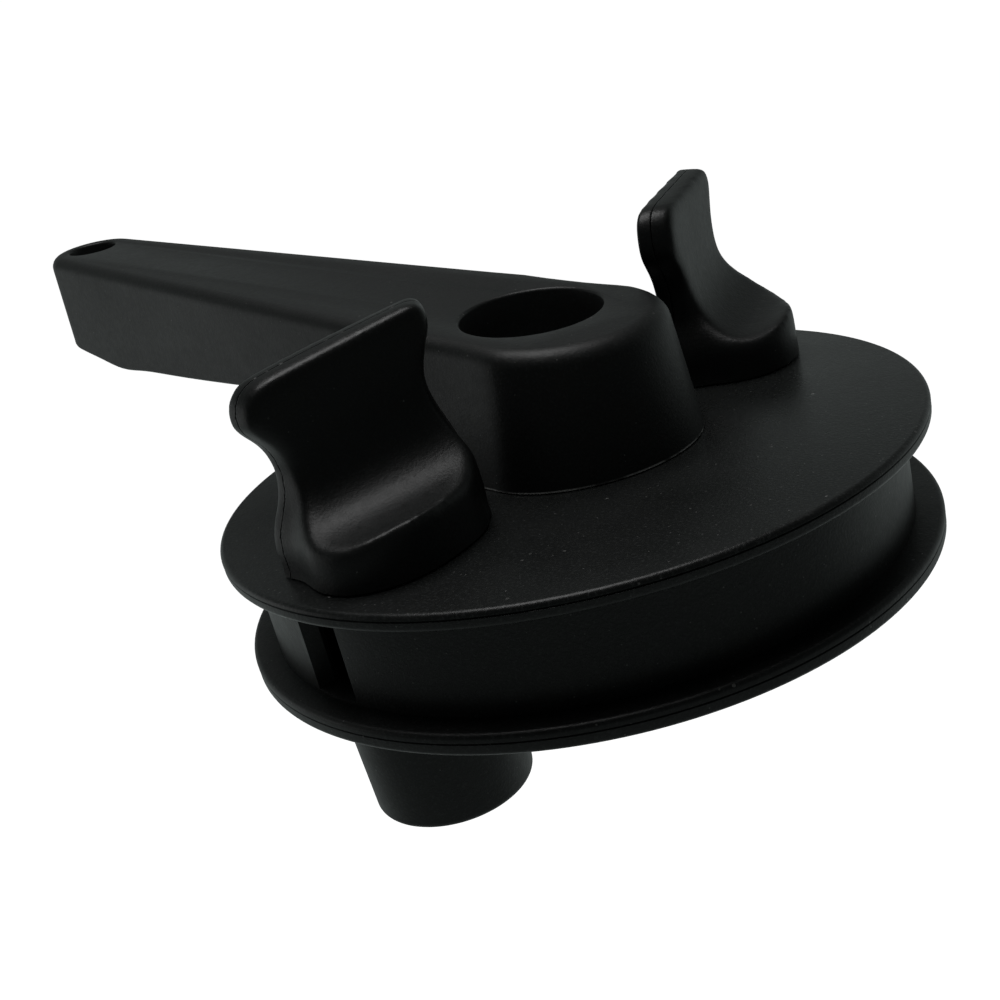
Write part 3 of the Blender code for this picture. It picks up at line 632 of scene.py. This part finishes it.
def make_lever():
    lever = slab("lever_moulding", lever_plan(), -5.0 * MM, 60.0 * MM, helper=False)
    deep = 40.0 * MM
    side_view = Matrix(((1, 0, 0, 0), (0, 0, 1, 0), (0, 1, 0, 0), (0, 0, 0, 1)))
    boolean(lever, slab("lever_side", lever_side_view(), -deep, deep, side_view), "INTERSECT")
    bake(lever, 0.2)
    lean_sides(lever)
    weigh_edges(lever, lever_edge_weight)
    bevel_weighted(lever, LEVER_EDGE, 7)
    boolean(lever, cylinder("hub_bore", BORE_R, -MM, 30.0 * MM, steps=128))
    boolean(lever, cylinder("tip_hole", TIP_HOLE_R, 0.0, 60.0 * MM, (TIP_HOLE_X, 0.0), 64))
    bake(lever)
    weigh_edges(lever, hole_edge_weight)
    bevel_weighted(lever, 0.45 * MM, 3)
    boolean(lever, cylinder("sleeve_seat", SLEEVE_R + GAP, -MM, SLEEVE_HIGH.z + GAP, steps=96))
    boolean(lever, cylinder("washer_recess", 14.1 * MM, -MM, 1.6 * MM, steps=96))
    for outline, end in pocket_outlines():
        boolean(lever, slab("pocket", outline, 0.0, lever_top(end) - LEVER_WALL))
    bake(lever)
    finish_piece(lever, LEVER_PLASTIC, "lever", "lever_arm", 32.0)


# ---------------------------------------------------------------- hub stack

def make_ring(name, inner, outer, low, high, material, body, edge=0.12 * MM):
    profile = [
        (outer - edge, high),
        (outer, high - edge),
        (outer, low + edge),
        (outer - edge, low),
        (inner + edge, low),
        (inner, low + edge),
        (inner, high - edge),
        (inner + edge, high),
    ]
    piece = turned(name + "_piece", profile, 96)
    return finish_piece(piece, material, body, name)


def make_hub_stack():
    low = SLEEVE_LOW.z
    groove_low = low + 1.3 * MM
    groove_high = groove_low + 1.8 * MM
    groove_r = SLEEVE_R - 0.6 * MM
    profile = [
        (SLEEVE_R - 0.6 * MM, SLEEVE_HIGH.z),
        (SLEEVE_R, SLEEVE_HIGH.z - 0.6 * MM),
        (SLEEVE_R, groove_high),
        (groove_r, groove_high),
        (groove_r, groove_low),
        (SLEEVE_R, groove_low),
        (SLEEVE_R, low + 0.4 * MM),
        (SLEEVE_R - 0.4 * MM, low),
        (BORE_R + 0.3 * MM, low),
        (BORE_R, low + 0.3 * MM),
        (BORE_R, SLEEVE_HIGH.z - 0.3 * MM),
        (BORE_R + 0.3 * MM, SLEEVE_HIGH.z),
    ]
    finish_piece(turned("hub_sleeve_piece", profile, 128), STEEL, "lever", "hub_sleeve")
    for name, body in (
        ("upper_thrust_washer", "lever"),
        ("lower_thrust_washer", "lever"),
        ("upper_bush", "drum"),
        ("lower_bush", "drum"),
    ):
        node_low, node_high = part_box(name)
        make_ring(
            name, SLEEVE_R + GAP, node_high.x, node_low.z, node_high.z, BUSH_PLASTIC, body
        )

    node_low, node_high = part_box("wave_washer")
    thick = 0.4 * MM
    swing = 0.5 * (node_high.z - node_low.z - thick)
    flat_top = node_low.z + thick
    wave = make_ring(
        "wave_washer", SLEEVE_R + GAP, node_high.x, node_low.z, flat_top, STEEL, "lever", 0.05 * MM
    )
    for vertex in wave.data.vertices:
        vertex.co.z += swing * (1.0 + cos(3.0 * atan2(vertex.co.y, vertex.co.x)))

    node_low, node_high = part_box("retaining_ring")
    inner = groove_r + GAP
    outer = inner + 2.6 * MM
    half_opening = 25.0
    outline = arc((0.0, 0.0), outer, half_opening, 360.0 - half_opening, 96)
    outline += arc((0.0, 0.0), inner, 360.0 - half_opening, half_opening, 96)
    ring = slab("retaining_ring_piece", outline, node_low.z, node_high.z, helper=False)
    lug_radius = 0.5 * (inner + outer) + 0.7 * MM
    spots = [at_azimuth(lug_radius, radians(side * (half_opening + 4.0))) for side in (-1, 1)]
    for spot in spots:
        boolean(ring, cylinder("ring_lug", 1.9 * MM, node_low.z, node_high.z, spot, 40), "UNION")
    for spot in spots:
        boolean(ring, cylinder("ring_eye", 0.8 * MM, node_low.z - MM, node_high.z + MM, spot, 24))
    bake(ring)
    finish_piece(ring, STEEL, "lever", "retaining_ring")


# ---------------------------------------------------------------- drum

def screw_azimuths():
    return [radians(45.0 + 90.0 * index) for index in range(4)]


def rim(outer, top, bottom, line_share):
    """Profile points down a disc's rim: round edges and a fine line part of the way down."""
    line_z = top - line_share * (top - bottom)
    line = 0.13 * MM
    points = arc((outer - RIM_ROUND, top - RIM_ROUND), RIM_ROUND, 90.0, 0.0, 7)
    points += [(outer, line_z + line), (outer - 1.4 * line, line_z), (outer - 0.2 * line, line_z - line)]
    points += arc((outer - RIM_ROUND, bottom + RIM_ROUND), RIM_ROUND - 0.2 * line, 0.0, -90.0, 7)
    return points


def slot_block(margin, top):
    return block(
        "line_slot",
        (-0.5 * SLOT_WIDTH - margin, -FLANGE_R, LOWER_TOP + SLOT_SILL),
        (0.5 * SLOT_WIDTH + margin, -(WALL_R - 3.0 * WALL_THICK), top),
    )


def slot_chamfer():
    """A cutter that slopes the slot's sill and one of its sides outwards, to lead the line in."""
    half = 0.5 * SLOT_WIDTH
    sections = []
    for y, spread in ((-WALL_R - 0.8 * MM, 2.4 * MM), (-WALL_R + 2.1 * MM, 0.0)):
        low = LOWER_TOP + SLOT_SILL - 0.4 * spread
        left = -half - 0.8 * spread
        sections.append(
            [Vector((left, y, 0.0)), Vector((half, y, 0.0)), Vector((half, y, low)), Vector((left, y, low))]
        )
    return loft("slot_chamfer", sections, helper=True)


def make_drum_shell():
    wall_in = WALL_R - WALL_THICK
    web_top = RECESS_TOP + 2.2 * MM
    recess_out = RECESS_R + 2.5 * MM
    profile = [(WALL_R, WALL_TOP), (WALL_R, LOWER_TOP)]
    profile += rim(FLANGE_R, LOWER_TOP, LOWER_BOTTOM, 0.42)
    profile += [
        (RECESS_R + 0.4 * MM, LOWER_BOTTOM),
        (RECESS_R, LOWER_BOTTOM + 0.4 * MM),
        (RECESS_R, RECESS_TOP),
        (HUB_HOLE_R, RECESS_TOP),
        (HUB_HOLE_R, WALL_TOP),
        (HUB_TUBE_R, WALL_TOP),
        (HUB_TUBE_R, web_top),
        (recess_out, web_top),
        (recess_out, LOWER_TOP),
        (wall_in, LOWER_TOP),
        (wall_in, WALL_TOP),
    ]
    shell = turned("drum_shell_piece", profile, 192)
    spots = [at_azimuth(FLANGE_SCREW_RADIUS, azimuth) for azimuth in screw_azimuths()]
    pillar_low = LOWER_BOTTOM + 0.5 * MM
    pillar_high = PILLAR_SPLIT - 0.5 * GAP
    for spot in spots:
        boolean(shell, cylinder("pillar", PILLAR_R, pillar_low, pillar_high, spot), "UNION")
    for spot in spots:
        boolean(shell, cylinder("screw_hole", PILOT_R, LOWER_BOTTOM - MM, 0.0, spot, 32))
        sink_top = LOWER_BOTTOM + SCREW_HEAD_H + 0.6 * MM
        boolean(shell, cylinder("screw_sink", SCREW_HEAD_R + GAP, LOWER_BOTTOM - MM, sink_top, spot))
    boolean(shell, slot_block(0.0, 0.0))
    boolean(shell, slot_chamfer())
    post_hole = cylinder("post_hole", AXLE_R + GAP, LOWER_BOTTOM - MM, LOWER_TOP + MM, (0.0, CRANK_Y))
    boolean(shell, post_hole)
    bake(shell)
    finish_piece(shell, DRUM_PLASTIC, "drum", "drum_shell", 30.0)


def make_lid():
    spigot_out = WALL_R - WALL_THICK - GAP
    profile = [(HUB_HOLE_R, 0.0)] + rim(FLANGE_R, 0.0, -FLANGE_THICK, 0.36)
    profile += [
        (spigot_out, -FLANGE_THICK),
        (spigot_out, -FLANGE_THICK - 2.0 * MM),
        (spigot_out - 1.5 * MM, -FLANGE_THICK - 2.0 * MM),
        (spigot_out - 1.5 * MM, -FLANGE_THICK),
        (HUB_HOLE_R, -FLANGE_THICK),
    ]
    lid = turned("lid_piece", profile, 192)
    boolean(lid, slot_block(GAP, -FLANGE_THICK + 0.2 * MM))
    spots = [at_azimuth(FLANGE_SCREW_RADIUS, azimuth) for azimuth in screw_azimuths()]
    pillar_low = PILLAR_SPLIT + 0.5 * GAP
    for spot in spots:
        boolean(lid, cylinder("lid_pillar", PILLAR_R, pillar_low, -0.5 * FLANGE_THICK, spot), "UNION")
    for spot in spots:
        boolean(lid, cylinder("lid_pilot", PILOT_R, PILLAR_SPLIT - MM, -1.6 * MM, spot, 32))
    bake(lid)
    finish_piece(lid, LID_PLASTIC, "drum", "upper_flange", 30.0)


# ---------------------------------------------------------------- wings

def wing_side_profile():
    """Seen from the wing's end, as (forwards, up): upright plate, hollow front and thumb seat."""
    low = -BASE_MARGIN
    high = 40.0 * MM
    front = 25.0 * MM
    dip = SEAT_HEIGHT - SEAT_DIP
    hollow = arc((HOLLOW_R, dip + HOLLOW_R), HOLLOW_R, 180.0, 282.0, 30)
    profile = [(-WING_THICK, low), (-WING_THICK, high), (0.0, high)]
    return profile + hollow + [(12.8 * MM, SEAT_HEIGHT), (front, SEAT_HEIGHT), (front, low)]


def wing_outline(side, spread, lift):
    """Seen from the front, as (along, up): flared base, waist, and a wide top with round corners."""
    _, _, _, crest, tilt = WINGS[side]
    points = [
        (12.3, -4.0),
        (12.5, 0.0),
        (12.6, 4.5),
        (12.1, 8.5),
        (10.8, 12.4),
        (9.9, 15.1),
        (9.4, 18.0),
        (9.8, 20.0),
        (10.8, 22.0),
        (11.7, 23.5),
        (12.0, 25.0),
        (11.4, 26.2),
        (10.3, 26.8),
        (8.6, 26.9),
        (0.0, 26.8),
        (-9.2, 26.7),
        (-11.2, 26.0),
        (-12.4, 24.6),
        (-12.9, 22.6),
        (-13.0, 20.6),
        (-12.2, 18.8),
        (-10.9, 17.2),
        (-9.9, 15.0),
        (-9.7, 12.4),
        (-10.3, 9.7),
        (-11.6, 7.2),
        (-12.5, 4.5),
        (-12.4, 0.0),
        (-12.2, -4.0),
    ]
    outline = []
    for along, up in points:
        y = along * MM
        z = up * MM
        share = max(0.0, (z - SHOULDER_Z) / (CREST_Z - SHOULDER_Z))
        z += share * (crest + tilt * y + lift)
        outline.append((y + (spread if y > 0.0 else -spread), z))
    return smooth_loop(outline, 4)


def wing_plan_outline():
    """Seen from above, as (forwards, along): a straight back and a bowed seat, cut back at its +Y end."""
    points = [
        (1.0, -17.0),
        (2.2, -14.0),
        (3.4, -12.8),
        (5.6, -12.3),
        (9.0, -10.7),
        (11.2, -8.0),
        (12.3, -5.0),
        (12.5, -2.2),
        (11.9, 0.8),
        (10.5, 4.2),
        (8.3, 8.0),
        (5.9, 10.4),
        (3.0, 12.2),
        (1.0, 17.0),
    ]
    bow = smooth_loop([(x * MM, y * MM) for x, y in points], 4)[: 4 * (len(points) - 1) + 1]
    return bow + [(-8.0 * MM, 17.0 * MM), (-8.0 * MM, -17.0 * MM)]


def cut_level(thing, level):
    """Cut everything below a level away, and close the cut."""
    cage = bmesh.new()
    cage.from_mesh(thing.data)
    geometry = cage.verts[:] + cage.edges[:] + cage.faces[:]
    made = bmesh.ops.bisect_plane(
        cage,
        geom=geometry,
        dist=0.001 * MM,
        plane_co=(0.0, 0.0, level),
        plane_no=(0.0, 0.0, 1.0),
        clear_inner=True,
    )
    rim_edges = [item for item in made["geom_cut"] if isinstance(item, bmesh.types.BMEdge)]
    bmesh.ops.contextual_create(cage, geom=rim_edges)
    cage.to_mesh(thing.data)
    cage.free()


def press_parting_line(thing, x, width, depth):
    """The fine mould line: a narrow groove where the two mould halves met."""
    cage = bmesh.new()
    cage.from_mesh(thing.data)
    for shift in (-width, 0.0, width):
        geometry = cage.verts[:] + cage.edges[:] + cage.faces[:]
        bmesh.ops.bisect_plane(
            cage, geom=geometry, dist=0.002 * MM, plane_co=(x + shift, 0.0, 0.0), plane_no=(1.0, 0.0, 0.0)
        )
    cage.normal_update()
    for vertex in cage.verts:
        if abs(vertex.co.x - x) < 0.004 * MM and vertex.co.z > 0.05 * MM:
            vertex.co -= vertex.normal * depth
    cage.to_mesh(thing.data)
    cage.free()


def make_wing(name, side):
    wide = 20.0 * MM
    end_view = Matrix(((1, 0, 0, 0), (0, 0, 1, 0), (0, 1, SEAT_TILT, 0), (0, 0, 0, 1)))
    wing = slab(name + "_piece", wing_side_profile(), -wide, wide, end_view, helper=False)
    stations = [(-WING_THICK - MM, WING_DRAFT, 0.5 * MM), (0.0, 0.0, 0.0), (18.0 * MM, 0.0, 0.0)]
    sections = []
    for forwards, spread, lift in stations:
        sections.append([Vector((forwards, along, up)) for along, up in wing_outline(side, spread, lift)])
    boolean(wing, loft("wing_body", sections, helper=True), "INTERSECT")
    boolean(wing, slab("wing_plan", wing_plan_outline(), -2.0 * BASE_MARGIN, 50.0 * MM), "INTERSECT")
    bake(wing)
    remesh = wing.modifiers.new("skin", "REMESH")
    remesh.mode = "VOXEL"
    remesh.voxel_size = SKIN_VOXEL
    bake(wing)
    soften = wing.modifiers.new("soften", "SMOOTH")
    soften.factor = 0.5
    soften.iterations = SKIN_SMOOTHING
    bake(wing)
    cut_level(wing, 0.0)
    press_parting_line(wing, PARTING_X, PARTING_WIDTH, PARTING_DEPTH)
    x, y, turn, _, _ = WINGS[side]
    wing.matrix_world = Matrix.Translation((x, y, GAP)) @ Matrix.Rotation(turn, 4, "Z")
    finish_piece(wing, WING_PLASTIC, "drum", name, 60.0)


# ---------------------------------------------------------------- screws and crank peg

def make_screws(names, head_r, head_h, body):
    """Pan-head screws, heads down, each with a cross recess."""
    low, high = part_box(names[0])
    length = high.z - low.z - head_h
    shank = SCREW_SHANK_R
    profile = [
        (0.0, length),
        (0.4 * shank, length),
        (shank, length - 1.2 * shank),
        (shank, 0.12 * MM),
        (shank + 0.12 * MM, 0.0),
        (head_r - 0.1 * MM, 0.0),
        (head_r, -0.1 * MM),
        (head_r, -0.45 * head_h),
        (0.93 * head_r, -0.72 * head_h),
        (0.72 * head_r, -0.92 * head_h),
        (0.4 * head_r, -head_h),
        (0.0, -head_h),
    ]
    first = turned(names[0] + "_piece", profile, 40)
    for wide, deep in ((0.62 * head_r, 0.15 * head_r), (0.15 * head_r, 0.62 * head_r)):
        boolean(first, block("cross_recess", (-wide, -deep, -head_h - MM), (wide, deep, -0.4 * head_h)))
    bake(first)
    for index, name in enumerate(names):
        low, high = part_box(name)
        piece = first if index == 0 else add_object(name + "_piece", first.data.copy())
        piece.location = (0.5 * (low.x + high.x), 0.5 * (low.y + high.y), low.z + head_h)
        finish_piece(piece, SCREW_STEEL, body, name)


def make_crank():
    node_low, node_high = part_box("crank_axle")
    post_profile = [
        (PILOT_R, node_high.z),
        (7.6 * MM, node_high.z),
        (8.0 * MM, node_high.z - 0.4 * MM),
        (8.0 * MM, LOWER_TOP + GAP),
        (AXLE_R, LOWER_TOP + GAP),
        (AXLE_R, node_low.z + 0.4 * MM),
        (AXLE_R - 0.4 * MM, node_low.z),
        (PILOT_R, node_low.z),
    ]
    post = turned("crank_axle_piece", post_profile, 72)
    post.location = (0.0, CRANK_Y, 0.0)
    finish_piece(post, POST_PLASTIC, "drum", "crank_axle")

    top = LOWER_BOTTOM - GAP
    end = CRANK_END_Z
    bore = AXLE_R + GAP
    sink_r = 7.2 * MM
    web_z = end + 4.6 * MM
    edge = 1.0 * MM
    draft = (CRANK_TOP_R - CRANK_END_R) / (top - end)
    slope_r = CRANK_END_R + draft * edge
    profile = [(bore, top), (CRANK_TOP_R - 0.3 * MM, top), (CRANK_TOP_R, top - 0.3 * MM)]
    profile += arc((slope_r - edge, end + edge), edge, 0.0, -90.0, 8)
    profile += arc((sink_r + 0.4 * MM, end + 0.4 * MM), 0.4 * MM, 270.0, 180.0, 3)
    profile += [(sink_r, web_z), (bore, web_z)]
    sleeve = turned("crank_sleeve_piece", profile, 128)
    sleeve.location = (0.0, CRANK_Y, 0.0)
    finish_piece(sleeve, PEG_PLASTIC, "crank", "crank_sleeve")

    node_low, node_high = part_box("crank_washer")
    washer = make_ring("crank_washer", PILOT_R, 6.6 * MM, node_low.z, node_high.z, STEEL, "drum")
    washer.location = (0.0, CRANK_Y, 0.0)


# ---------------------------------------------------------------- stage, light and camera

CAMERA_HEADING = 51.4    # degrees about Z, from +Y
CAMERA_DOWN = 20.329     # degrees below level
CAMERA_ROLL = -14.661
CAMERA_LENS = 46.6
CAMERA_SPOT = (0.12966, -0.11699, 0.05867)
OVERHEAD_POWER = 2.7
LEFT_POWER = 0.2


def make_stage():
    """A pale floor far below, that curves up into a pale backdrop all round."""
    nodes = Nodes("pale_floor")
    clouds = nodes.noise(nodes.coordinates(), 1.5, 2.0, 0.5)
    nodes.link(nodes.mix(clouds, (0.88, 0.88, 0.875), (0.9, 0.9, 0.9)), nodes.shader.inputs["Base Color"])
    nodes.shader.inputs["Roughness"].default_value = 0.9
    nodes.shader.inputs["Emission Color"].default_value = (1.0, 1.0, 1.0, 1.0)
    nodes.shader.inputs["Emission Strength"].default_value = 1.0
    profile = [(0.0, -0.5), (2.0, -0.5)] + arc((2.0, 0.5), 1.0, -90.0, 0.0, 12) + [(3.0, 3.0)]
    floor = turned("floor", profile, 64)
    floor.data.materials.append(nodes.material)
    floor.data.shade_smooth()
    floor.visible_diffuse = False
    floor.visible_glossy = False
    floor.visible_shadow = False


def area_light(name, spot, target, size, power):
    data = bpy.data.lights.new(name, "AREA")
    data.shape = "RECTANGLE"
    data.size, data.size_y = size
    data.energy = power
    lamp = bpy.data.objects.new(name, data)
    bpy.context.scene.collection.objects.link(lamp)
    lamp.location = spot
    lamp.rotation_euler = (Vector(target) - Vector(spot)).to_track_quat("-Z", "Y").to_euler()
    lamp.visible_camera = False
    return lamp


def make_world():
    """A room that is bright low down behind the winder and below it, and dark in front of it."""
    world = bpy.data.worlds.new("studio")
    bpy.context.scene.world = world
    world.use_nodes = True
    tree = world.node_tree
    place = tree.nodes.new("ShaderNodeTexCoord").outputs["Generated"]

    def band(direction, start, end, low, high):
        toward = tree.nodes.new("ShaderNodeVectorMath")
        toward.operation = "DOT_PRODUCT"
        toward.inputs[1].default_value = Vector(direction).normalized()
        tree.links.new(place, toward.inputs[0])
        ramp = tree.nodes.new("ShaderNodeMapRange")
        ramp.interpolation_type = "SMOOTHSTEP"
        for key, value in (("From Min", start), ("From Max", end), ("To Min", low), ("To Max", high)):
            ramp.inputs[key].default_value = value
        tree.links.new(toward.outputs["Value"], ramp.inputs["Value"])
        return ramp.outputs["Result"]

    strength = tree.nodes.new("ShaderNodeMath")
    strength.operation = "MULTIPLY"
    tree.links.new(band((-0.68, 0.73, 0.0), -0.1, 0.5, 0.045, 0.31), strength.inputs[0])
    tree.links.new(band((0.0, 0.0, 1.0), -0.1, 0.8, 1.0, 0.1), strength.inputs[1])
    total = tree.nodes.new("ShaderNodeMath")
    tree.links.new(strength.outputs[0], total.inputs[0])
    tree.links.new(band((0.0, 0.0, -1.0), 0.25, 0.65, 0.0, 0.16), total.inputs[1])
    background = tree.nodes["Background"]
    background.inputs["Color"].default_value = (0.9, 1.0, 0.975, 1.0)
    tree.links.new(total.outputs[0], background.inputs["Strength"])


def make_camera():
    """Twenty degrees above the drum, off the nose's near side, and rolled."""
    turn = Matrix.Rotation(radians(CAMERA_HEADING), 4, "Z")
    tilt = Matrix.Rotation(radians(90.0 - CAMERA_DOWN), 4, "X")
    roll = Matrix.Rotation(radians(CAMERA_ROLL), 4, "Z")
    data = bpy.data.cameras.new("camera")
    data.sensor_width = 36.0
    data.lens = CAMERA_LENS
    data.clip_start = 0.01
    camera = bpy.data.objects.new("camera", data)
    bpy.context.scene.collection.objects.link(camera)
    camera.matrix_world = Matrix.Translation(CAMERA_SPOT) @ turn @ tilt @ roll
    bpy.context.scene.camera = camera


def main():
    make_lever()
    make_hub_stack()
    make_drum_shell()
    make_lid()
    make_wing("thumb_wing_near", "near")
    make_wing("thumb_wing_far", "far")
    make_screws(["flange_screw_%d" % number for number in range(1, 5)], SCREW_HEAD_R, SCREW_HEAD_H, "drum")
    wing_screws = ["wing_screw_%s_%d" % (side, number) for side in ("near", "far") for number in (1, 2)]
    make_screws(wing_screws, SCREW_HEAD_R, SCREW_HEAD_H, "drum")
    make_screws(["crank_screw"], CRANK_SCREW_HEAD_R, CRANK_SCREW_HEAD_H, "drum")
    make_crank()
    drop_helpers()

    make_stage()
    make_world()
    area_light("overhead_softbox", (-0.1, 0.0, 0.8), (0.0, 0.0, 0.0), (0.5, 0.5), OVERHEAD_POWER)
    area_light("left_softbox", (-0.6, -0.45, 0.0), (-0.03, 0.0, 0.0), (0.5, 0.4), LEFT_POWER)
    make_camera()
    bpy.context.scene.view_settings.view_transform = "Standard"


main()
